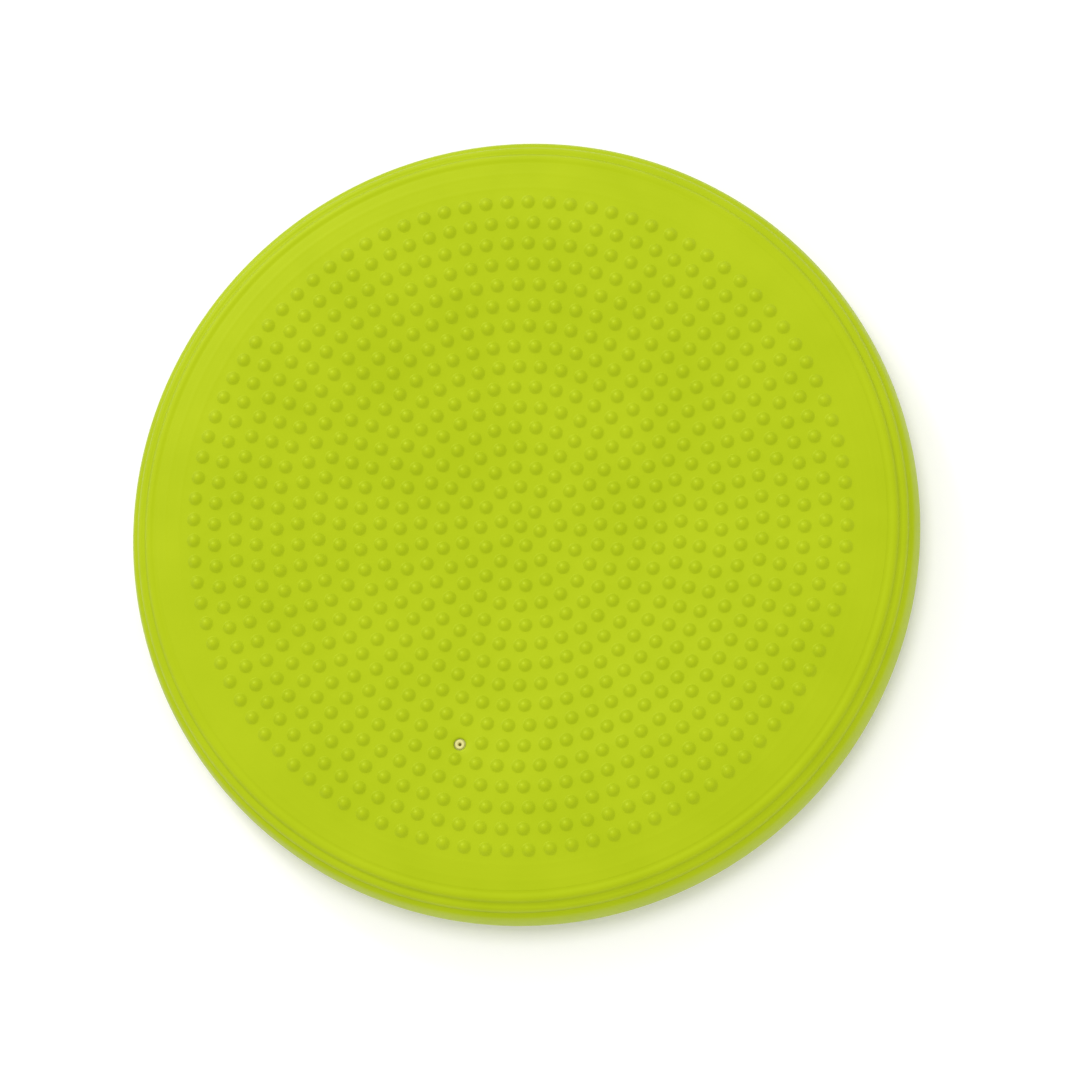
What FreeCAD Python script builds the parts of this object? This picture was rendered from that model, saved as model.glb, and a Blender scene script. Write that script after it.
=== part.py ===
import FreeCAD, Part

import math
import os

from FreeCAD import Vector

# Inflated balance pad: a round vinyl bladder that lies flat, nubbed face up, needle valve towards -Y.
# Millimetres, +Z up, origin on the floor under the centre.
# The wall is one moulding. It is written out in the stretches that stay stiff (face, shoulder, mid rib,
# underside) and the stretches that flex between them (crest, upper rim, lower rim), so that it can move.

# Bladder
OUTER_D = 330.0
THICKNESS = 38.0
WALL = 3.5
FACE_DISH = 9.5
FOOT_INNER_R = 122.0
FOOT_OUTER_R = 134.0
UNDERSIDE_DISH = 3.0
UNDERSIDE_EDGE_ROUND = 80.0

# The rim: a slightly bulged side between two round corners
SIDE_ROUND = 34.0
SIDE_HALF_ANGLE = 13.0
CORNER_ROUND = 13.1

# Where the stretches of wall meet. The rim's flexing stretches end in a groove at each corner.
FACE_R = 142.0
CORNER_SPLIT_R = 157.9
MID_RIB_HALF_WIDTH = 2.4
SEAM_GAP = 0.3
LAST_BAND_MARGIN = 0.8
TOUCHING = 1e-6

# Moulded ribs around the rim, one at mid height and two on each corner, and grip rings on the underside.
# The corner ribs are RIB_PITCH apart, and this many pitches from the one at mid height.
RIB_RISE = 0.6
RIB_HALF_WIDTH = 2.1
RIB_PITCH = 5.07
SIDEWARD_RIB = 3
SHOULDER_RIB = 4
GRIP_RING_RADII = (90.0, 60.0, 30.0)

# Nubs: one in the middle, then rings of 6, 12, 18 and so on, a little wider apart towards the edge
NUB_RINGS = 16
NUB_PITCH = 8.35
NUB_SPREAD = 0.019
NUB_D = 5.2
NUB_HEIGHT = 2.0
STAGGERED_RINGS = (1, 2, 5, 6, 9, 13, 16)

# Needle valve, which takes the place of one nub
VALVE_RING = 11
VALVE_R = 94.8
VALVE_HOLE_D = 6.0
VALVE_RECESS_D = 7.6
VALVE_RECESS_DEPTH = 0.5
SEAT_D = 15.0
SEAT_BOTTOM_Z = 25.0
CORE_CLEARANCE = 0.05
CORE_HEAD_D = 4.4
CORE_HEAD_HEIGHT = 1.4
CORE_TOP_DROP = 0.7
CORE_BULB_D = 9.0
CORE_BULB_HEIGHT = 3.0
CORE_LIP_D = 3.0
CORE_LIP_HEIGHT = 3.0
NEEDLE_BORE_D = 2.2
NEEDLE_BORE_LENGTH = 12.0


def ring_radius(ring):
    return NUB_PITCH * ring * (1 + NUB_SPREAD * (ring / NUB_RINGS) ** 2)


def between_rings(ring):
    """Radius midway between this ring of nubs and the next one out."""
    return (ring_radius(ring) + ring_radius(ring + 1)) / 2


class Arc:
    """A round stretch of the wall's outer line, in the XZ plane. Angles are in degrees from +X towards +Z."""

    def __init__(self, centre, radius, start, end, hollow=False):
        self.centre = centre
        self.radius = radius
        self.start = start
        self.end = end
        self.hollow = hollow

    def point(self, angle, depth=0.0):
        """The point at this angle, depth inside the outer surface."""
        turn = math.radians(angle)
        radius = self.radius + depth if self.hollow else self.radius - depth
        return Vector(self.centre[0] + radius * math.cos(turn), 0, self.centre[1] + radius * math.sin(turn))

    def edge(self, depth=0.0):
        middle = (self.start + self.end) / 2
        return Part.Arc(*[self.point(angle, depth) for angle in (self.start, middle, self.end)]).toShape()

    def trimmed(self, start=None, end=None):
        first = self.start if start is None else start
        last = self.end if end is None else end
        return Arc(self.centre, self.radius, first, last, self.hollow)

    def angle_at(self, x):
        """The angle at which the line is this far from the axis, with the sign of the arc's own angles."""
        angle = math.degrees(math.acos((x - self.centre[0]) / self.radius))
        return math.copysign(angle, self.start + self.end)

    def step(self, length):
        """The angle that covers this length along the line."""
        return math.degrees(length / self.radius)


def dish_slope(radius, depth):
    """The steepest slope of a dish made of a round middle and a round edge that are tangent."""
    return 2 * math.degrees(math.atan(depth / radius))


def tangent_angle(centre, corner_centre):
    return math.degrees(math.atan2(corner_centre[1] - centre[1], corner_centre[0] - centre[0]))


def gentle_round(reach, height, corner_radius):
    """Radius of an arc that starts level and is tangent to a corner, whose centre is reach out and height down."""
    return (reach**2 + height**2 - corner_radius**2) / (2 * (height - corner_radius))


# The outer line, from the middle of the face over the rim to the middle of the underside.
# The face is a round hollow with a round edge. The crest is between the last two rings of nubs.
CREST_R = between_rings(NUB_RINGS - 1)
LAST_BAND_R = ring_radius(NUB_RINGS) + NUB_D / 2 + LAST_BAND_MARGIN
FACE_BORDER_R = between_rings(VALVE_RING)
FACE_SLOPE = dish_slope(CREST_R, FACE_DISH)
FACE_EDGE_ROUND = (CREST_R - FACE_BORDER_R) / math.sin(math.radians(FACE_SLOPE))
FACE_MIDDLE_ROUND = FACE_BORDER_R / math.sin(math.radians(FACE_SLOPE))
FACE_MIDDLE = Arc(
    (0, THICKNESS - FACE_DISH + FACE_MIDDLE_ROUND), FACE_MIDDLE_ROUND, -90.0, -90.0 + FACE_SLOPE, hollow=True
)
FACE_EDGE = Arc((CREST_R, THICKNESS - FACE_EDGE_ROUND), FACE_EDGE_ROUND, 90.0 + FACE_SLOPE, 90.0)

# The side stands RIB_RISE inside the outer diameter, and the corners are tangent to it.
RIM_R = OUTER_D / 2 - RIB_RISE
MID_Z = THICKNESS / 2
SIDE = Arc((RIM_R - SIDE_ROUND, MID_Z), SIDE_ROUND, SIDE_HALF_ANGLE, -SIDE_HALF_ANGLE)
CORNER_X = SIDE.centre[0] + (SIDE_ROUND - CORNER_ROUND) * math.cos(math.radians(SIDE_HALF_ANGLE))
CORNER_OFFSET = (SIDE_ROUND - CORNER_ROUND) * math.sin(math.radians(SIDE_HALF_ANGLE))
UPPER_CENTRE = (CORNER_X, MID_Z + CORNER_OFFSET)
LOWER_CENTRE = (CORNER_X, MID_Z - CORNER_OFFSET)

# Gentle arcs join the corners to the crest and to the flat ring that the pad stands on.
SHOULDER_ROUND = gentle_round(CORNER_X - CREST_R, MID_Z - CORNER_OFFSET, CORNER_ROUND)
SHOULDER_CENTRE = (CREST_R, THICKNESS - SHOULDER_ROUND)
TOP_TANGENT = tangent_angle(SHOULDER_CENTRE, UPPER_CENTRE)
SHOULDER = Arc(SHOULDER_CENTRE, SHOULDER_ROUND, 90.0, TOP_TANGENT)
UPPER_CORNER = Arc(UPPER_CENTRE, CORNER_ROUND, TOP_TANGENT, SIDE_HALF_ANGLE)
FOOT_ROUND = gentle_round(CORNER_X - FOOT_OUTER_R, MID_Z - CORNER_OFFSET, CORNER_ROUND)
FOOT_CENTRE = (FOOT_OUTER_R, FOOT_ROUND)
BOTTOM_TANGENT = tangent_angle(FOOT_CENTRE, LOWER_CENTRE)
LOWER_CORNER = Arc(LOWER_CENTRE, CORNER_ROUND, -SIDE_HALF_ANGLE, BOTTOM_TANGENT)
LOWER_SHOULDER = Arc(FOOT_CENTRE, FOOT_ROUND, BOTTOM_TANGENT, -90.0)

# Angles of the splits, on the side and on the corners
MID_RIB_HALF = SIDE.step(MID_RIB_HALF_WIDTH)
CORNER_SPLIT = UPPER_CORNER.angle_at(CORNER_SPLIT_R)

# Inside the foot ring the underside is a shallow hollow.
UNDER_SLOPE = dish_slope(FOOT_INNER_R, UNDERSIDE_DISH)
UNDER_MIDDLE_ROUND = FOOT_INNER_R / math.sin(math.radians(UNDER_SLOPE)) - UNDERSIDE_EDGE_ROUND
UNDER_EDGE = Arc((FOOT_INNER_R, UNDERSIDE_EDGE_ROUND), UNDERSIDE_EDGE_ROUND, -90.0, -90.0 - UNDER_SLOPE)
UNDER_MIDDLE = Arc(
    (0, UNDERSIDE_DISH - UNDER_MIDDLE_ROUND), UNDER_MIDDLE_ROUND, 90.0 - UNDER_SLOPE, 90.0, hollow=True
)


def face_height(radius):
    """Height of the face's surface, without its nubs."""
    if radius < FACE_BORDER_R:
        return FACE_MIDDLE.centre[1] - math.sqrt(FACE_MIDDLE.radius**2 - radius**2)
    arc = FACE_EDGE if radius < CREST_R else SHOULDER
    return arc.centre[1] + math.sqrt(arc.radius**2 - (radius - arc.centre[0]) ** 2)


def sphere_arc(inner_r, outer_r, drop=0.0):
    """The face between two radii as an arc whose centre is on the axis, or a line where it is level."""
    start = Vector(inner_r, 0, face_height(inner_r) - drop)
    end = Vector(outer_r, 0, face_height(outer_r) - drop)
    if abs(end.z - start.z) < TOUCHING:
        return line(start, end)
    centre_z = (end.Length**2 - start.Length**2) / (2 * (end.z - start.z))
    radius = math.hypot(inner_r, start.z - centre_z)
    middle_r = (inner_r + outer_r) / 2
    middle_z = centre_z + math.copysign(math.sqrt(radius**2 - middle_r**2), start.z - centre_z)
    return Part.Arc(start, Vector(middle_r, 0, middle_z), end).toShape()


def line(start, end):
    return Part.LineSegment(start, end).toShape()


def turned(edges):
    """The solid of revolution whose section has this closed outline."""
    section = Part.Face(Part.Wire(Part.__sortEdges__(edges)))
    return section.revolve(Vector(0, 0, 0), Vector(0, 0, 1), 360)


def ribbed_line(arc, rib_angles):
    """An arc of the outer line with a round rib standing RIB_RISE proud of it at each angle."""
    sense = 1 if arc.end > arc.start else -1
    half = sense * arc.step(RIB_HALF_WIDTH)
    edges = []
    at = arc.start
    for angle in rib_angles:
        edges.append(arc.trimmed(at, angle - half).edge())
        at = angle + half
        edges.append(Part.Arc(arc.point(angle - half), arc.point(angle, -RIB_RISE), arc.point(at)).toShape())
    return edges + [arc.trimmed(at, arc.end).edge()]


def wall_stretch(arcs, ribs=()):
    """The wall behind a run of arcs, square to the surface at both ends. ribs holds each arc's rib angles."""
    edges = []
    ribs = ribs or [()] * len(arcs)
    for arc, rib_angles in zip(arcs, ribs):
        edges += ribbed_line(arc, rib_angles)
        edges.append(arc.edge(WALL))
    for arc, following in zip(arcs, arcs[1:]):
        end, start = arc.point(arc.end), following.point(following.start)
        if end.distanceToPoint(start) > TOUCHING:
            edges.append(line(end, start))
            edges.append(line(arc.point(arc.end, WALL), following.point(following.start, WALL)))
    first, last = arcs[0], arcs[-1]
    edges.append(line(first.point(first.start), first.point(first.start, WALL)))
    edges.append(line(last.point(last.end), last.point(last.end, WALL)))
    return turned(edges)


def nub_ball_radius():
    return ((NUB_D / 2) ** 2 + NUB_HEIGHT**2) / (2 * NUB_HEIGHT)


def nub_angles(ring):
    """Direction of each nub of a ring, in degrees from +X. The valve takes the place of one nub."""
    shift = 0.5 if ring in STAGGERED_RINGS else 0.0
    first = 1 if ring == VALVE_RING else 0
    return [-90 + (place + shift) * 60 / ring for place in range(first, 6 * ring)]


def upright(radius):
    """The upright edge through the face's wall at this radius."""
    top = face_height(radius)
    return line(Vector(radius, 0, top), Vector(radius, 0, top - WALL))


def centre_nub():
    """The middle of the face with the one nub that is on the axis."""
    outer_r = between_rings(0)
    foot_r = NUB_D / 2
    ball_r = nub_ball_radius()
    nub = Arc((0, face_height(foot_r) + NUB_HEIGHT - ball_r), ball_r, 90.0, 0.0)
    tip = nub.point(nub.start)
    under = Vector(0, 0, face_height(0) - WALL)
    edges = [nub.trimmed(end=nub.angle_at(foot_r)).edge(), sphere_arc(foot_r, outer_r), upright(outer_r)]
    return turned(edges + [sphere_arc(0, outer_r, WALL), line(under, tip)])


def plain_band(inner_r, outer_r):
    outline = [sphere_arc(inner_r, outer_r), upright(outer_r), sphere_arc(inner_r, outer_r, WALL), upright(inner_r)]
    return turned(outline)


def nub_band(ring):
    """The band of the face that carries one ring of nubs. Its seam is turned to fall between two nubs."""
    outer_r = LAST_BAND_R if ring == NUB_RINGS else between_rings(ring)
    band = plain_band(between_rings(ring - 1), outer_r)
    angles = nub_angles(ring)
    band.rotate(Vector(0, 0, 0), Vector(0, 0, 1), angles[0] + 30 / ring)
    ball_r = nub_ball_radius()
    radius = ring_radius(ring)
    height = face_height(radius) + NUB_HEIGHT - ball_r
    balls = []
    for angle in angles:
        turn = math.radians(angle)
        place = Vector(radius * math.cos(turn), radius * math.sin(turn), height)
        balls.append(Part.makeSphere(ball_r, place))
    return band.multiFuse(balls)


def face_lip():
    """The edge of the face beyond the last nubs, square to the surface where the crest wall begins."""
    arc = SHOULDER.trimmed(SHOULDER.angle_at(LAST_BAND_R), SHOULDER.angle_at(FACE_R))
    inner = arc.edge(WALL)
    inner_start, inner_end = arc.point(arc.start, WALL), arc.point(arc.end, WALL)
    below = Vector(LAST_BAND_R, 0, face_height(LAST_BAND_R) - WALL)
    edges = [arc.edge(), line(arc.point(arc.end), inner_end), inner]
    return turned(edges + [line(inner_start, below), upright(LAST_BAND_R)])


def valve_cylinder(diameter, bottom, top):
    return Part.makeCylinder(diameter / 2, top - bottom, Vector(0, -VALVE_R, bottom))


def nubbed_face():
    bands = [nub_band(ring) for ring in range(1, NUB_RINGS + 1)]
    face = centre_nub().multiFuse(bands + [face_lip()])
    hole = valve_cylinder(VALVE_HOLE_D, SEAT_BOTTOM_Z, THICKNESS)
    recess = valve_cylinder(VALVE_RECESS_D, face_height(VALVE_R) - VALVE_RECESS_DEPTH, THICKNESS)
    return face.cut(hole).cut(recess)


def crest_wall():
    start = SHOULDER.angle_at(FACE_R) - SHOULDER.step(SEAM_GAP)
    return wall_stretch([SHOULDER.trimmed(start=start)])


def corner_angle(rib):
    """The angle on the upper corner that is this many rib pitches along the line from mid height."""
    beyond_side = RIB_PITCH * rib - SIDE_ROUND * math.radians(SIDE_HALF_ANGLE)
    return SIDE_HALF_ANGLE + UPPER_CORNER.step(beyond_side)


def shoulder_ring():
    return wall_stretch([UPPER_CORNER.trimmed(end=CORNER_SPLIT)], [[corner_angle(SHOULDER_RIB)]])


def upper_rim_wall():
    corner = UPPER_CORNER.trimmed(start=CORNER_SPLIT - UPPER_CORNER.step(SEAM_GAP))
    side = SIDE.trimmed(end=MID_RIB_HALF)
    return wall_stretch([corner, side], [[corner_angle(SIDEWARD_RIB)], []])


def mid_rim_rib():
    return wall_stretch([SIDE.trimmed(MID_RIB_HALF, -MID_RIB_HALF)], [[0.0]])


def lower_rim_wall():
    side = SIDE.trimmed(start=-MID_RIB_HALF - SIDE.step(SEAM_GAP))
    corner = LOWER_CORNER.trimmed(end=-CORNER_SPLIT)
    return wall_stretch([side, corner], [[], [-corner_angle(SIDEWARD_RIB)]])


def underside_shell():
    """The underside with its grip rings and the flat ring that it stands on."""
    corner = LOWER_CORNER.trimmed(start=-CORNER_SPLIT)
    grip_rings = [UNDER_MIDDLE.angle_at(radius) for radius in GRIP_RING_RADII]
    ribs = [[-corner_angle(SHOULDER_RIB)], [], [], grip_rings]
    return wall_stretch([corner, LOWER_SHOULDER, UNDER_EDGE, UNDER_MIDDLE], ribs)


def below_face():
    """All the space under the inner surface of the face around the valve."""
    near, middle, far = [between_rings(VALVE_RING + step) for step in (-1, 0, 1)]
    start = Vector(near, 0, face_height(near) - WALL)
    end = Vector(far, 0, face_height(far) - WALL)
    corners = [end, Vector(far, 0, 0), Vector(near, 0, 0), start]
    sides = [line(a, b) for a, b in zip(corners, corners[1:])]
    return turned([sphere_arc(near, middle, WALL), sphere_arc(middle, far, WALL)] + sides)


def valve_seat():
    """The boss under the face that grips the valve core."""
    boss = valve_cylinder(SEAT_D, SEAT_BOTTOM_Z, face_height(VALVE_R))
    return boss.cut(valve_cylinder(VALVE_HOLE_D, SEAT_BOTTOM_Z, THICKNESS)).common(below_face())


def valve_core():
    """The rubber plug: a narrow head in the hole, a stem in the seat, a bulb that holds it, and the lips."""
    top = face_height(VALVE_R) - CORE_TOP_DROP
    stem_top = top - CORE_HEAD_HEIGHT
    bulb_top = SEAT_BOTTOM_Z - CORE_CLEARANCE
    bulb_bottom = bulb_top - CORE_BULB_HEIGHT
    head = valve_cylinder(CORE_HEAD_D, stem_top, top)
    stem = valve_cylinder(VALVE_HOLE_D - 2 * CORE_CLEARANCE, bulb_top, stem_top)
    bulb = valve_cylinder(CORE_BULB_D, bulb_bottom, bulb_top)
    lip_tip = Vector(0, -VALVE_R, bulb_bottom - CORE_LIP_HEIGHT)
    lips = Part.makeCone(CORE_LIP_D / 2, CORE_HEAD_D / 2, CORE_LIP_HEIGHT, lip_tip)
    core = head.multiFuse([stem, bulb, lips])
    return core.cut(valve_cylinder(NEEDLE_BORE_D, top - NEEDLE_BORE_LENGTH, top))


def write(node, shape):
    if not shape.isValid():
        raise RuntimeError(node + " is not a valid shape")
    if len(shape.Solids) != 1:
        raise RuntimeError("%s has %d solids, not one" % (node, len(shape.Solids)))
    solid = shape.Solids[0]
    solid.exportStep("parts/" + node + ".step")
    print(node, "%.1f cm3" % (solid.Volume / 1000), flush=True)


def main():
    os.makedirs("parts", exist_ok=True)
    write("underside_shell", underside_shell())
    write("lower_rim_wall", lower_rim_wall())
    write("mid_rim_rib", mid_rim_rib())
    write("upper_rim_wall", upper_rim_wall())
    write("shoulder_ring", shoulder_ring())
    write("crest_wall", crest_wall())
    write("valve_seat", valve_seat())
    write("valve_core", valve_core())
    write("nubbed_face", nubbed_face())


main()
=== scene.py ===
"""Looks of the inflated balance pad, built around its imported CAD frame. Shapes are in millimetres."""

import math

import bpy
import numpy as np
from mathutils import Matrix, Vector
from mathutils.geometry import delaunay_2d_cdt


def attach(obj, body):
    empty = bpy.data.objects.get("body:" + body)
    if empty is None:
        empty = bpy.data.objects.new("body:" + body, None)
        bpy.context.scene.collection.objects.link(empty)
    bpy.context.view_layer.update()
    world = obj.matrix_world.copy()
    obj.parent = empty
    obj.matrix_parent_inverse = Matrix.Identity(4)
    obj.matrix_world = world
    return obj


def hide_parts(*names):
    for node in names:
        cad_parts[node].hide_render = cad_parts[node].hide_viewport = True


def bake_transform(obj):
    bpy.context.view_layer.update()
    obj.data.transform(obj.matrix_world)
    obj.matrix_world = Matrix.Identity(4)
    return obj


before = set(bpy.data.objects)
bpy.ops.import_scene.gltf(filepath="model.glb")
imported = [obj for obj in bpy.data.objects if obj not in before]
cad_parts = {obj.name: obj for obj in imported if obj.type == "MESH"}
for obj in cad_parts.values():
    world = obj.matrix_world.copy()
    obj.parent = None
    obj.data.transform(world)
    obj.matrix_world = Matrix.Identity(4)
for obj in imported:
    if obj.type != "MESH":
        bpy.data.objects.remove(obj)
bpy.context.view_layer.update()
MM = 0.001

# The bladder's outer line
OUTER_R = 165.0
THICKNESS = 38.0
WALL = 3.5
FACE_DISH = 9.5
FACE_R = 142.0
SIDE_ROUND = 34.0
SIDE_HALF_ANGLE = math.radians(13.0)
CORNER_ROUND = 13.1
FOOT_INNER_R = 122.0
FOOT_OUTER_R = 134.0
UNDERSIDE_DISH = 3.0
UNDERSIDE_EDGE_ROUND = 80.0
CREST_DEPTH = 7.5

# Ribs round the rim, faint rings on the shoulder and grip rings on the underside. The side band and the ribs
# end at these lengths from mid height, in rib pitches. A groove has its length, in pitches, and its depth.
RIB_RISE = 0.6
RIB_PITCH = 5.07
BAND_END = 2.0
RIBS_END = 4.5
GROOVE_WIDTH = 3.0
GROOVES = ((2.5, 0.45), (3.5, 0.4), (4.5, 0.12))
FAINT_RING_RADII = (142.5, 148.6)
FAINT_RING_RISE = 0.06
FAINT_RING_WIDTH = 2.2
GRIP_RING_RADII = (30.0, 60.0, 90.0)
GRIP_RING_RISE = 0.6
GRIP_RING_WIDTH = 5.2

# Nubs. A higher crown makes the top broader, and a higher softness makes the foot gentler. The nub beside the
# valve is narrow, and the mesh has rings at these steps between a nub's foot, 1, and its middle, 0.
NUB_RINGS = 16
NUB_PITCH = 8.35
NUB_SPREAD = 0.019
NUB_FOOT_R = 3.1
NUB_HEIGHT = 1.75
NUB_CROWN = 2.2
NUB_SOFTNESS = 1.55
NUB_NARROW_R = 2.95
STAGGERED_RINGS = (1, 2, 5, 6, 9, 13, 16)
NUB_SEGMENTS = 20
NUB_STEPS = (0.93, 0.85, 0.75, 0.62, 0.47, 0.30, 0.15)

# Valve
VALVE_RING = 11
VALVE_R = 94.8
VALVE_HOLE_R = 2.45
VALVE_LIP = 1.0
VALVE_DIMPLE = 0.4
VALVE_DIMPLE_R = 4.2
NEAR_VALVE_RADII = (4.2, 5.2)
NEAR_VALVE_GAP = 0.4
VALVE_SEGMENTS = 48
LIP_STEPS = 5
HOLE_WALL_STEPS = 3
HOLE_WALL_STEP = 0.81

# The valve's rubber plug, as radius and height along its line. The bore and the neck are measured from the
# top of the head, which is rounded between them, and the bulb and the lips from the floor.
PLUG_SINK = 0.75
PLUG_BORE = ((0.0, -9.0), (0.55, -8.9), (0.62, -1.2), (0.7, -0.5), (0.95, -0.14), (1.2, -0.03))
PLUG_HEAD_R = 1.5
PLUG_HEAD_ROUND = 0.5
PLUG_HEAD_STEPS = 6
PLUG_NECK = ((2.1, -0.65), (2.25, -0.8), (2.42, -0.9), (2.42, -2.9), (2.94, -3.0), (2.94, -8.0))
PLUG_BULB = ((2.94, 25.0), (4.2, 24.8), (4.5, 24.2), (4.5, 23.0), (4.1, 22.1))
PLUG_LIPS = ((2.4, 21.8), (1.5, 19.0), (0.0, 19.0))

# Mesh density. The unseen inner surface of the face has rings this far apart, up to a last radius.
TURNS = 360
LINE_STEP = 0.6
RIM_STEP = 0.3
UNDERSIDE_STEPS = 110
INNER_RING_STEP = 8
INNER_RING_END = 136


def ring_radius(ring):
    return NUB_PITCH * ring * (1 + NUB_SPREAD * (ring / NUB_RINGS) ** 2)


def between_rings(ring):
    return (ring_radius(ring) + ring_radius(ring + 1)) / 2


CREST_R = between_rings(NUB_RINGS - 1)
FACE_BORDER_R = between_rings(VALVE_RING)
FACE_SLOPE = 2 * math.atan(FACE_DISH / CREST_R)
FACE_EDGE_ROUND = (CREST_R - FACE_BORDER_R) / math.sin(FACE_SLOPE)
FACE_MIDDLE_ROUND = FACE_BORDER_R / math.sin(FACE_SLOPE)
RIM_R = OUTER_R - RIB_RISE
MID_Z = THICKNESS / 2
SIDE_X = RIM_R - SIDE_ROUND
SIDE_LENGTH = SIDE_ROUND * SIDE_HALF_ANGLE
CORNER_X = SIDE_X + (SIDE_ROUND - CORNER_ROUND) * math.cos(SIDE_HALF_ANGLE)
CORNER_OFFSET = (SIDE_ROUND - CORNER_ROUND) * math.sin(SIDE_HALF_ANGLE)


def gentle_round(reach):
    """Radius of an arc that starts level and is tangent to a corner, whose centre is this far out."""
    height = MID_Z - CORNER_OFFSET
    return (reach**2 + height**2 - CORNER_ROUND**2) / (2 * (height - CORNER_ROUND))


def rim_length(reach, gentle):
    """How far along the rim, from mid height, the corner meets the gentle arc."""
    turn = math.atan2(gentle - (MID_Z - CORNER_OFFSET), reach)
    return SIDE_LENGTH + CORNER_ROUND * (turn - SIDE_HALF_ANGLE)


SHOULDER_ROUND = gentle_round(CORNER_X - CREST_R)
SHOULDER_Z = THICKNESS - SHOULDER_ROUND
TOP_LENGTH = rim_length(CORNER_X - CREST_R, SHOULDER_ROUND)
FOOT_ROUND = gentle_round(CORNER_X - FOOT_OUTER_R)
BOTTOM_LENGTH = rim_length(CORNER_X - FOOT_OUTER_R, FOOT_ROUND)


def bump(distance, width):
    """A smooth rise of height 1 that is width across."""
    t = np.clip(np.abs(distance) / (width / 2), 0, 1)
    return (1 - t**2) ** 2


def smooth_face_height(r):
    """Height of the face without nubs, for an array of radii."""
    r = np.asarray(r, float)
    in_middle = np.minimum(r, FACE_BORDER_R)
    middle_centre_z = THICKNESS - FACE_DISH + FACE_MIDDLE_ROUND
    middle = middle_centre_z - np.sqrt(FACE_MIDDLE_ROUND**2 - in_middle**2)
    edge_centre_z = THICKNESS - FACE_EDGE_ROUND
    edge = edge_centre_z + np.sqrt(FACE_EDGE_ROUND**2 - np.minimum(r - CREST_R, 0) ** 2)
    shoulder = SHOULDER_Z + np.sqrt(SHOULDER_ROUND**2 - np.maximum(r - CREST_R, 0) ** 2)
    return np.where(r < FACE_BORDER_R, middle, np.where(r < CREST_R, edge, shoulder))


def nub_sites():
    """Middles of the nubs: one in the middle, then rings of 6, 12, 18 and so on, less the valve's place."""
    sites = [(0.0, 0.0)]
    for ring in range(1, NUB_RINGS + 1):
        shift = 0.5 if ring in STAGGERED_RINGS else 0.0
        for place in range(6 * ring):
            if ring == VALVE_RING and place == 0:
                continue
            angle = math.radians(-90 + (place + shift) * 60 / ring)
            radius = ring_radius(ring)
            sites.append((radius * math.cos(angle), radius * math.sin(angle)))
    return np.array(sites)


def nub_rise(distance):
    t = np.clip(distance / NUB_FOOT_R, 0, 1)
    return NUB_HEIGHT * (1 - t**NUB_CROWN) ** NUB_SOFTNESS


def rings_rise(radii, ring_radii, rise, width):
    """How far round rings of this rise and width stand out at each radius."""
    return sum(rise * bump(radii - radius, width) for radius in ring_radii)


def face_height(x, y, nub_distance):
    """Height of the face at x, y, where nub_distance is how far off the nearest nub's middle is."""
    r = np.hypot(x, y)
    valve_distance = np.hypot(x, y + VALVE_R)
    dimple = VALVE_DIMPLE * np.exp(-((valve_distance / VALVE_DIMPLE_R) ** 4))
    rings = rings_rise(r, FAINT_RING_RADII, FAINT_RING_RISE, FAINT_RING_WIDTH)
    return smooth_face_height(r) + nub_rise(nub_distance) - dimple + rings


def slope_normals(x, y, centre, scale):
    """Unit normals of the face. centre is each point's nearest nub, and scale is how narrow that is."""
    step = 0.01

    def height(dx, dy):
        distance = np.hypot(x + dx - centre[:, 0], y + dy - centre[:, 1])
        return face_height(x + dx, y + dy, distance * scale)

    slope_x = (height(step, 0) - height(-step, 0)) / (2 * step)
    slope_y = (height(0, step) - height(0, -step)) / (2 * step)
    normals = np.stack([-slope_x, -slope_y, np.ones_like(x)], axis=1)
    return normals / np.linalg.norm(normals, axis=1, keepdims=True)


def circle(radius, count, centre=(0.0, 0.0), start=0.0):
    angles = start + np.arange(count) * 2 * math.pi / count
    return np.array(centre) + radius * np.stack([np.cos(angles), np.sin(angles)], axis=1)


def strip(outer, inner):
    """Quads between two closed rings of equally many vertices, seen from above as outer round inner."""
    count = len(outer)
    return [(outer[i], outer[(i + 1) % count], inner[(i + 1) % count], inner[i]) for i in range(count)]


def link_object(name, data):
    piece = bpy.data.objects.new(name, data)
    bpy.context.scene.collection.objects.link(piece)
    return piece


class MeshParts:
    """Vertices, faces and known normals, gathered before they become one mesh."""

    def __init__(self):
        self.points = []
        self.faces = []
        self.normals = {}

    def add(self, points, normals=None):
        first = len(self.points)
        self.points.extend(map(tuple, points))
        indices = list(range(first, len(self.points)))
        if normals is not None:
            self.normals.update(zip(indices, map(tuple, normals)))
        return indices

    def build(self, name):
        mesh = bpy.data.meshes.new(name)
        mesh.from_pydata([tuple(c * MM for c in point) for point in self.points], [], self.faces)
        mesh.validate()
        mesh.shade_smooth()
        normals = np.zeros(len(mesh.vertices) * 3, np.float32)
        mesh.vertex_normals.foreach_get("vector", normals)
        normals = normals.reshape(-1, 3)
        for index, normal in self.normals.items():
            normals[index] = normal
        mesh.normals_split_custom_set_from_vertices(normals)
        return link_object(name, mesh)


def triangulate(loops, extra):
    """Triangles of the plane region between closed loops: first the outside, then the holes."""
    points, edges, holes = [], [], []
    for number, loop in enumerate(loops):
        indices = list(range(len(points), len(points) + len(loop)))
        points.extend(loop)
        if number:
            holes.append(indices)
        else:
            edges = list(zip(indices, indices[1:] + indices[:1]))
    points.extend(extra)
    result = delaunay_2d_cdt([Vector(p) for p in points], edges, holes, 0, 1e-5)
    origin = [found[0] for found in result[3]]
    triangles = []
    for triangle, inside in zip(result[2], result[5]):
        if not inside:
            triangles.append(tuple(origin[corner] for corner in triangle))
    return triangles


def distances(points, place):
    return np.hypot(*(points - place).T)


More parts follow.
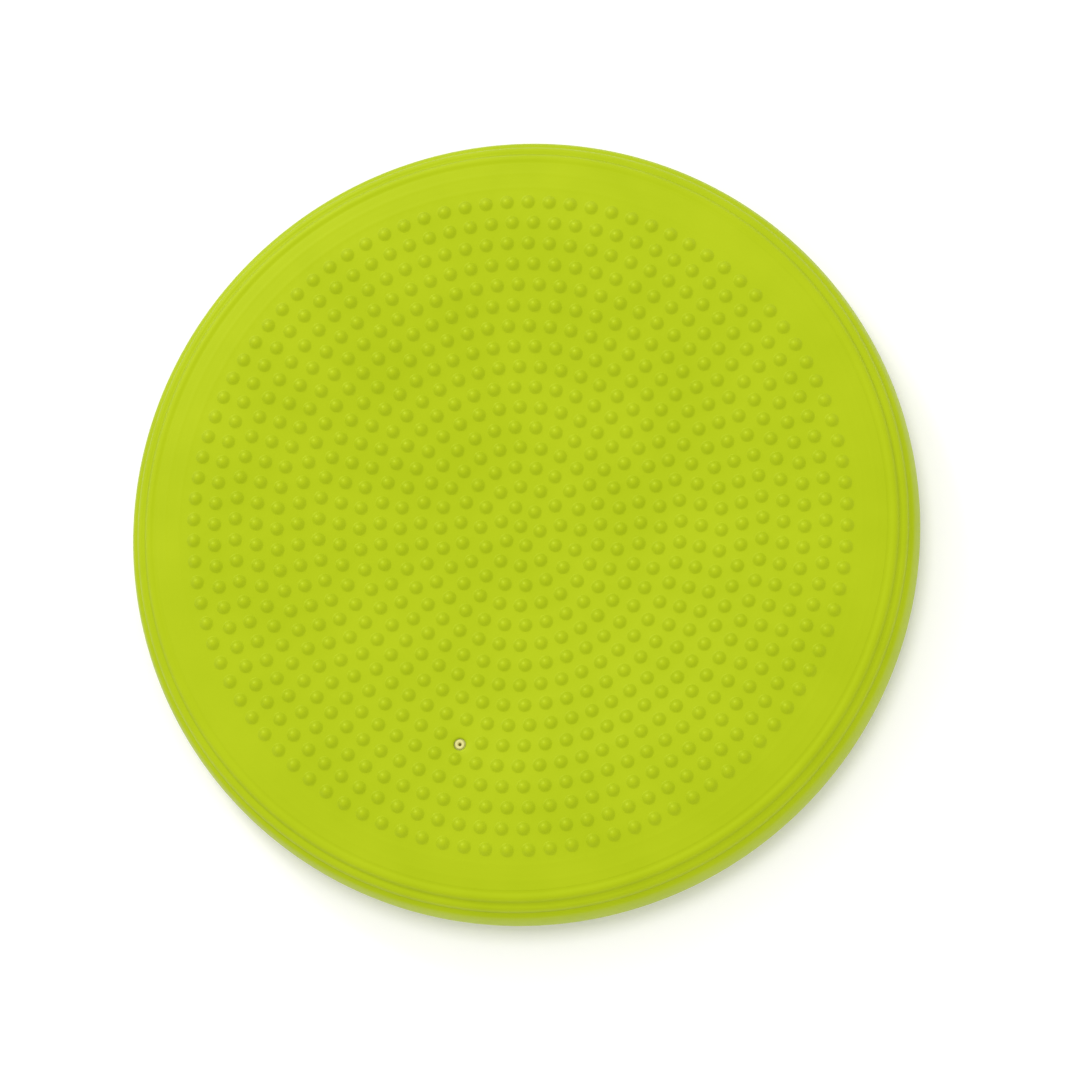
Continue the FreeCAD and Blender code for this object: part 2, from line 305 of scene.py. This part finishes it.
def loose_points(sites, reaches, valve):
    """Points of the face between its edge, its nubs and the valve, which keep its triangles small."""
    by_edge = [circle(FACE_R - 1.0, TURNS // 2, start=0.005), circle(FACE_R - 2.0, TURNS // 2)]
    near_valve = np.vstack([circle(radius, NUB_SEGMENTS, valve) for radius in NEAR_VALVE_RADII])
    gaps = np.array([(distances(sites, point) - reaches).min() for point in near_valve])
    return np.vstack(by_edge + [near_valve[gaps > NEAR_VALVE_GAP]])


def face_skin():
    """The nubbed face as one closed shell: nubs, valve hole, edge and inner surface."""
    parts = MeshParts()
    sites = nub_sites()
    valve = np.array([0.0, -VALVE_R])
    starts = np.arctan2(sites[:, 1], sites[:, 0])
    by_valve = distances(sites, valve) < NUB_FOOT_R + VALVE_DIMPLE_R
    reaches = np.where(by_valve, NUB_NARROW_R, NUB_FOOT_R)
    loops = [circle(FACE_R, TURNS), circle(VALVE_HOLE_R + VALVE_LIP, VALVE_SEGMENTS, valve)]
    loops += [circle(reach, NUB_SEGMENTS, *place) for reach, *place in zip(reaches, sites, starts)]
    extra = loose_points(sites, reaches, valve)

    flat = np.vstack(loops + [extra])
    nearest = np.array([distances(sites, point).argmin() for point in flat])
    owners, scale = sites[nearest], NUB_FOOT_R / reaches[nearest]
    heights = face_height(flat[:, 0], flat[:, 1], distances(flat, owners) * scale)
    normals = slope_normals(flat[:, 0], flat[:, 1], owners, scale)
    index = parts.add(np.column_stack([flat, heights]), normals)
    parts.faces += triangulate(loops, extra)

    rim_ring = index[:TURNS]
    valve_ring = index[TURNS:TURNS + VALVE_SEGMENTS]
    foot_points = index[TURNS + VALVE_SEGMENTS:len(flat) - len(extra)]
    feet = np.reshape(foot_points, (len(sites), NUB_SEGMENTS))
    for site, start, reach, foot in zip(sites, starts, reaches, feet):
        add_nub(parts, site, start, reach, list(foot))
    hole_ring = add_valve_hole(parts, valve, valve_ring)
    add_inner_surface(parts, rim_ring, hole_ring, valve)
    return parts.build("nubbed_face_skin")


def add_nub(parts, site, start, reach, ring):
    """One nub, from the ring of vertices at its foot up to its middle."""
    centre = np.tile(site, (NUB_SEGMENTS, 1))
    scale = NUB_FOOT_R / reach
    for step in NUB_STEPS:
        flat = circle(reach * step, NUB_SEGMENTS, site, start)
        heights = face_height(flat[:, 0], flat[:, 1], np.full(NUB_SEGMENTS, NUB_FOOT_R * step))
        normals = slope_normals(flat[:, 0], flat[:, 1], centre, scale)
        inner = parts.add(np.column_stack([flat, heights]), normals)
        parts.faces += strip(ring, inner)
        ring = inner
    top = face_height(site[:1], site[1:], np.zeros(1))
    normal = slope_normals(site[:1], site[1:], centre[:1], scale)
    apex = parts.add([(site[0], site[1], top[0])], normal)[0]
    parts.faces += [(ring[i], ring[(i + 1) % NUB_SEGMENTS], apex) for i in range(NUB_SEGMENTS)]


def add_valve_hole(parts, valve, ring):
    """The rounded lip and the wall of the valve hole, down to the inner surface."""
    off_any_nub = np.full(1, FACE_R)
    edge_x = valve[:1] + VALVE_HOLE_R + VALVE_LIP
    surface = float(face_height(edge_x, valve[1:], off_any_nub)[0])
    tilt = (smooth_face_height(VALVE_R + 1) - smooth_face_height(VALVE_R - 1)) / 2
    for number in range(1, LIP_STEPS + HOLE_WALL_STEPS + 1):
        turn = math.pi / 2 * min(number / LIP_STEPS, 1)
        radius = VALVE_HOLE_R + VALVE_LIP * (1 - math.sin(turn))
        depth = VALVE_LIP * (1 - math.cos(turn)) + max(number - LIP_STEPS, 0) * HOLE_WALL_STEP
        flat = circle(radius, VALVE_SEGMENTS, valve)
        heights = surface - depth - tilt * (flat[:, 1] - valve[1])
        inward = (valve - flat) / radius
        upward = np.full(VALVE_SEGMENTS, math.cos(turn))
        normals = np.column_stack([inward * math.sin(turn), upward])
        inner = parts.add(np.column_stack([flat, heights]), normals)
        parts.faces += strip(ring, inner)
        ring = inner
    return ring


def add_inner_surface(parts, rim_ring, hole_ring, valve):
    """The unseen side of the face, which closes the shell."""
    rim = circle(FACE_R, TURNS)
    hole = circle(VALVE_HOLE_R, VALVE_SEGMENTS, valve)
    radii = range(INNER_RING_STEP, INNER_RING_END, INNER_RING_STEP)
    grid = np.vstack([circle(radius, 6 * radius // INNER_RING_STEP) for radius in radii])
    grid = grid[distances(grid, valve) > 2 * VALVE_HOLE_R]
    flat = np.vstack([rim, hole, grid])
    heights = smooth_face_height(np.hypot(flat[:, 0], flat[:, 1])) - WALL
    index = parts.add(np.column_stack([flat, heights]))
    triangles = triangulate([rim, hole], grid)
    parts.faces += [(index[c], index[b], index[a]) for a, b, c in triangles]
    parts.faces += strip(index[:TURNS], rim_ring)
    parts.faces += strip(hole_ring, index[TURNS:TURNS + VALVE_SEGMENTS])


def arc_points(centre, radius, start, end):
    """Radius and height along an arc of the outer line, and the outward directions there."""
    count = max(2, round(abs(end - start) * radius / LINE_STEP) + 1)
    angles = np.linspace(start, end, count)
    directions = np.stack([np.cos(angles), np.sin(angles)], axis=1)
    return np.array(centre) + radius * directions, directions


def rim_points(start, end):
    """Outer and inner points of the rim with its ribs, between two lengths from mid height."""
    lengths = np.linspace(start, end, round(abs(end - start) / RIM_STEP) + 1)
    beyond = np.maximum(np.abs(lengths) - SIDE_LENGTH, 0)
    on_side = beyond == 0
    corner_angles = np.sign(lengths) * (SIDE_HALF_ANGLE + beyond / CORNER_ROUND)
    angles = np.where(on_side, lengths / SIDE_ROUND, corner_angles)
    radius = np.where(on_side, SIDE_ROUND, CORNER_ROUND)
    centre_x = np.where(on_side, SIDE_X, CORNER_X)
    centre_z = np.where(on_side, MID_Z, MID_Z + np.sign(lengths) * CORNER_OFFSET)
    directions = np.stack([np.cos(angles), np.sin(angles)], axis=1)
    centres = np.stack([centre_x, centre_z], axis=1)
    inner = centres + (radius - WALL)[:, None] * directions
    outer = centres + (radius + rim_rise(lengths))[:, None] * directions
    return outer, inner


def rim_rise(lengths):
    """How far the side band and the two ribs at each corner stand out, less the grooves beside them."""
    reach = np.abs(lengths) / RIB_PITCH
    wave = (1 + np.cos(2 * math.pi * reach)) / 2
    ribs = np.where(reach < BAND_END, 1, wave) * (reach < RIBS_END)
    grooves = 0
    for middle, depth in GROOVES:
        grooves = grooves + depth * bump((reach - middle) * RIB_PITCH, GROOVE_WIDTH)
    return RIB_RISE * ribs - grooves


def turned(radius, height):
    """A radius and height turned round the axis, as one ring of points or directions."""
    return np.column_stack([circle(radius, TURNS), np.full(TURNS, height)])


def turned_faces(first, second):
    """Faces between two neighbouring rings of a turned line, where a ring on the axis is one vertex."""
    if len(first) == 1 and len(second) == 1:
        return []
    if len(second) == 1:
        return [(first[(i + 1) % TURNS], first[i], second[0]) for i in range(TURNS)]
    if len(first) == 1:
        return [(second[i], second[(i + 1) % TURNS], first[0]) for i in range(TURNS)]
    return strip(second, first)


def closed_revolve(name, outer, inner):
    """A closed shell from its outer and inner lines, given as radius and height along the wall."""
    parts = MeshParts()
    tangents = np.gradient(outer, axis=0)
    tangents /= np.linalg.norm(tangents, axis=1, keepdims=True)
    loop = []
    for (radius, height), (along_r, along_z) in zip(outer, tangents):
        if radius > 0:
            loop.append(parts.add(turned(radius, height), turned(-along_z, along_r)))
        else:
            loop.append(parts.add([(0, 0, height)], [(0, 0, -1)]))
    for radius, height in inner[::-1]:
        loop.append(parts.add(turned(radius, height) if radius > 0 else [(0, 0, height)]))
    for first, second in zip(loop, loop[1:]):
        parts.faces += turned_faces(first, second)
    if len(loop[0]) == TURNS and len(loop[-1]) == TURNS:
        parts.faces += turned_faces(loop[-1], loop[0])
    return parts.build(name)


def crest_skin():
    """The flexing ring between the face and the rim. It is deep enough to clear a sunken face."""
    start = math.acos((FACE_R - CREST_R) / SHOULDER_ROUND)
    end = math.atan2(MID_Z + CORNER_OFFSET - SHOULDER_Z, CORNER_X - CREST_R)
    points, directions = arc_points((CREST_R, SHOULDER_Z), SHOULDER_ROUND, start, end)
    rise = rings_rise(points[:, 0], FAINT_RING_RADII, FAINT_RING_RISE, FAINT_RING_WIDTH)
    return closed_revolve("crest_skin", points + directions * rise[:, None], points - [0, CREST_DEPTH])


def upper_rim_skin():
    return closed_revolve("upper_rim_skin", *rim_points(TOP_LENGTH, 0.0))


def underside_lines():
    """Outer and inner lines of the hollow underside, from the foot ring to the middle."""
    radii = np.linspace(FOOT_INNER_R, 0, UNDERSIDE_STEPS)
    slope = 2 * math.atan(UNDERSIDE_DISH / FOOT_INNER_R)
    middle_round = FOOT_INNER_R / math.sin(slope) - UNDERSIDE_EDGE_ROUND
    border = middle_round * math.sin(slope)
    in_edge = np.maximum(FOOT_INNER_R - radii, 0) * (radii > border)
    edge = UNDERSIDE_EDGE_ROUND - np.sqrt(UNDERSIDE_EDGE_ROUND**2 - in_edge**2)
    hollow = UNDERSIDE_DISH - middle_round + np.sqrt(middle_round**2 - np.minimum(radii, border) ** 2)
    heights = np.where(radii > border, edge, hollow)
    rise = rings_rise(radii, GRIP_RING_RADII, GRIP_RING_RISE, GRIP_RING_WIDTH)
    return np.column_stack([radii, heights - rise]), np.column_stack([radii, heights + WALL])


def lower_shell_skin():
    """The lower half of the rim, the foot ring and the underside in one."""
    outer_rim, inner_rim = rim_points(0.0, -BOTTOM_LENGTH)
    start = math.atan2(MID_Z - CORNER_OFFSET - FOOT_ROUND, CORNER_X - FOOT_OUTER_R)
    foot, down = arc_points((FOOT_OUTER_R, FOOT_ROUND), FOOT_ROUND, start, -math.pi / 2)
    outer_underside, inner_underside = underside_lines()
    outer = np.vstack([outer_rim, foot[1:], outer_underside])
    inner = np.vstack([inner_rim, foot[1:] - down[1:] * WALL, inner_underside])
    return closed_revolve("lower_shell_skin", outer, inner)


def plug_line():
    """Radius and height along the plug, from the end of its bore, over its head, to its lips."""
    top = float(smooth_face_height(VALVE_R)) - PLUG_SINK
    line = [(radius, top + height) for radius, height in PLUG_BORE]
    for number in range(PLUG_HEAD_STEPS + 1):
        turn = math.pi / 2 * (1 - number / PLUG_HEAD_STEPS)
        radius = PLUG_HEAD_R + PLUG_HEAD_ROUND * math.cos(turn)
        line.append((radius, top + PLUG_HEAD_ROUND * (math.sin(turn) - 1)))
    line += [(radius, top + height) for radius, height in PLUG_NECK]
    return line + list(PLUG_BULB + PLUG_LIPS)


def valve_core_skin():
    """The cream rubber plug: rounded head with a funnel into its pinhole, stem, bulb and lips."""
    points, faces, rings = [], [], []
    for radius, height in plug_line():
        flat = circle(radius, VALVE_SEGMENTS if radius else 1, (0.0, -VALVE_R))
        rings.append(range(len(points), len(points) + len(flat)))
        points += [(x * MM, y * MM, height * MM) for x, y in flat]
    for first, second in zip(rings, rings[1:]):
        for i in range(VALVE_SEGMENTS):
            a, b = first[i % len(first)], first[(i + 1) % len(first)]
            c, d = second[(i + 1) % len(second)], second[i % len(second)]
            face = [a, d, c, b]
            faces.append([v for n, v in enumerate(face) if v not in face[:n]])
    mesh = bpy.data.meshes.new("valve_core_plug")
    mesh.from_pydata(points, [], faces)
    mesh.validate()
    mesh.shade_smooth()
    return link_object("valve_core_plug", mesh)


# Materials

VINYL_DARK = (0.375, 0.481, 0.004, 1)
VINYL_LIGHT = (0.400, 0.505, 0.006, 1)
VINYL_GLOSS_TINT = (0.92, 1.0, 0.15, 1)
VINYL_CLOUD_SCALE = 28.0
VINYL_GLOSS_SCALE = 160.0
VINYL_ROUGHNESS_SPREAD = 0.07
VINYL_IOR = 1.5
GRAIN_SCALE = 1500.0
GRAIN_STRENGTH = 0.12
GRAIN_HEIGHT = 0.03 * MM
RUBBER_DARK = (0.66, 0.62, 0.22, 1)
RUBBER_LIGHT = (0.72, 0.68, 0.27, 1)
RUBBER_CLOUD_SCALE = 900.0
RUBBER_ROUGHNESS = 0.6
FLOOR_COLOR = (0.95, 0.93, 0.96, 1)
FLOOR_GLOW = 0.09
FLOOR_ROUGHNESS = 0.9


def new_material(name):
    material = bpy.data.materials.new(name)
    material.use_nodes = True
    nodes = material.node_tree.nodes
    return material, nodes, material.node_tree.links, nodes["Principled BSDF"]


def noise(nodes, links, scale, detail, place):
    texture = nodes.new("ShaderNodeTexNoise")
    texture.inputs["Scale"].default_value = scale
    texture.inputs["Detail"].default_value = detail
    links.new(place.outputs["Object"], texture.inputs["Vector"])
    return texture


def cloudy_color(nodes, links, shader, cloud, dark, light, dark_until, light_from):
    """Colour that drifts between dark and light with the cloud noise."""
    ramp = nodes.new("ShaderNodeValToRGB")
    ramp.color_ramp.elements[0].position = dark_until
    ramp.color_ramp.elements[0].color = dark
    ramp.color_ramp.elements[1].position = light_from
    ramp.color_ramp.elements[1].color = light
    links.new(cloud.outputs["Fac"], ramp.inputs["Fac"])
    links.new(ramp.outputs["Color"], shader.inputs["Base Color"])


def vinyl_material(name, roughness, gloss_level):
    """Soft lime vinyl: satin, a little cloudy in colour, with a fine moulded grain."""
    material, nodes, links, shader = new_material(name)
    place = nodes.new("ShaderNodeTexCoord")
    cloud = noise(nodes, links, VINYL_CLOUD_SCALE, 3.0, place)
    cloudy_color(nodes, links, shader, cloud, VINYL_DARK, VINYL_LIGHT, 0.35, 0.65)
    gloss = noise(nodes, links, VINYL_GLOSS_SCALE, 2.0, place)
    spread = nodes.new("ShaderNodeMapRange")
    spread.inputs["To Min"].default_value = roughness
    spread.inputs["To Max"].default_value = roughness + VINYL_ROUGHNESS_SPREAD
    links.new(gloss.outputs["Fac"], spread.inputs["Value"])
    links.new(spread.outputs["Result"], shader.inputs["Roughness"])
    grain = noise(nodes, links, GRAIN_SCALE, 2.0, place)
    relief = nodes.new("ShaderNodeBump")
    relief.inputs["Strength"].default_value = GRAIN_STRENGTH
    relief.inputs["Distance"].default_value = GRAIN_HEIGHT
    links.new(grain.outputs["Fac"], relief.inputs["Height"])
    links.new(relief.outputs["Normal"], shader.inputs["Normal"])
    shader.inputs["Specular IOR Level"].default_value = gloss_level
    shader.inputs["Specular Tint"].default_value = VINYL_GLOSS_TINT
    shader.inputs["IOR"].default_value = VINYL_IOR
    return material


def rubber_material():
    """Matt cream rubber of the valve core."""
    material, nodes, links, shader = new_material("cream_rubber")
    place = nodes.new("ShaderNodeTexCoord")
    cloud = noise(nodes, links, RUBBER_CLOUD_SCALE, 2.0, place)
    cloudy_color(nodes, links, shader, cloud, RUBBER_DARK, RUBBER_LIGHT, 0.0, 1.0)
    shader.inputs["Roughness"].default_value = RUBBER_ROUGHNESS
    return material


def floor_material():
    """White floor with a faint glow, which keeps it white to the picture's edges."""
    material, _, _, shader = new_material("white_floor")
    shader.inputs["Base Color"].default_value = FLOOR_COLOR
    shader.inputs["Emission Color"].default_value = (1, 1, 1, 1)
    shader.inputs["Emission Strength"].default_value = FLOOR_GLOW
    shader.inputs["Roughness"].default_value = FLOOR_ROUGHNESS
    shader.inputs["Specular IOR Level"].default_value = 0.0
    return material


# Assembly.

VINYL = vinyl_material("lime_vinyl", roughness=0.43, gloss_level=0.72)
RIM_VINYL = vinyl_material("lime_vinyl_rim", roughness=0.5, gloss_level=0.62)
RUBBER = rubber_material()


def dress(piece, material):
    piece.data.materials.clear()
    piece.data.materials.append(material)


face = face_skin()
dress(face, VINYL)
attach(face, "face")
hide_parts("nubbed_face")

crest = crest_skin()
dress(crest, VINYL)
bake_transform(crest)
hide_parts("crest_wall")

upper = upper_rim_skin()
dress(upper, RIM_VINYL)
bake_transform(upper)
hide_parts("upper_rim_wall", "shoulder_ring")

lower = lower_shell_skin()
dress(lower, RIM_VINYL)
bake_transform(lower)
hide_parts("lower_rim_wall", "underside_shell", "mid_rim_rib")

core = valve_core_skin()
dress(core, RUBBER)
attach(core, "face")
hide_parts("valve_core")

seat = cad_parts["valve_seat"]
seat.data.materials.clear()
seat.data.materials.append(VINYL)

# Stage, in metres. The floor lies just under the foot ring, so that the two don't share a plane.

FLOOR_SIZE = 6.0
FLOOR_GAP = 0.0001
SKY_STRENGTH = 0.78
LIGHT_DISTANCE = 2.5

bpy.ops.mesh.primitive_plane_add(size=FLOOR_SIZE, location=(0, 0, -FLOOR_GAP))
floor = bpy.context.object
floor.name = "floor"
floor.data.materials.append(floor_material())

world = bpy.context.scene.world or bpy.data.worlds.new("world")
bpy.context.scene.world = world
world.use_nodes = True
sky = world.node_tree.nodes["Background"]
sky.inputs["Color"].default_value = (1, 1, 1, 1)
sky.inputs["Strength"].default_value = SKY_STRENGTH


def area_light(name, azimuth, elevation, size, power):
    """A square light that looks at the pad from this azimuth and elevation, in degrees."""
    light = bpy.data.lights.new(name, "AREA")
    light.size = size
    light.energy = power
    lamp = link_object(name, light)
    a, e = math.radians(azimuth), math.radians(elevation)
    direction = Vector((math.cos(a) * math.cos(e), math.sin(a) * math.cos(e), math.sin(e)))
    lamp.location = direction * LIGHT_DISTANCE
    lamp.rotation_euler = direction.to_track_quat("Z", "Y").to_euler()
    return lamp


# The overhead light gives no gloss. The gleam gives only gloss, on the upper left of each nub.
overhead = area_light("overhead", azimuth=100.0, elevation=86.0, size=0.8, power=19.0)
overhead.visible_glossy = False
area_light("key", azimuth=143.0, elevation=38.0, size=0.5, power=12.5)
gleam = area_light("gleam", azimuth=143.0, elevation=32.0, size=0.7, power=11.5)
gleam.visible_diffuse = False

bpy.context.scene.view_settings.view_transform = "Standard"
bpy.context.scene.view_settings.look = "None"

# Camera: almost straight down on the pad, from the lower right of the picture

CAMERA_PLACE = Vector((0.34766, -0.28933, 2.01455))
CAMERA_AIM = Vector((0.00901, -0.00334, 0.02644))
CAMERA_UP = Vector((-0.232, 0.957, 0.177))
CAMERA_LENS = 163.68
CAMERA_SENSOR = 36.0
CAMERA_REACH = 20

back = (CAMERA_PLACE - CAMERA_AIM).normalized()
right = CAMERA_UP.cross(back).normalized()
camera = link_object("camera", bpy.data.cameras.new("camera"))
camera.data.lens = CAMERA_LENS
camera.data.sensor_width = CAMERA_SENSOR
camera.data.clip_end = CAMERA_REACH
camera.location = CAMERA_PLACE
camera.rotation_euler = Matrix((right, back.cross(right), back)).transposed().to_euler()
bpy.context.scene.camera = camera
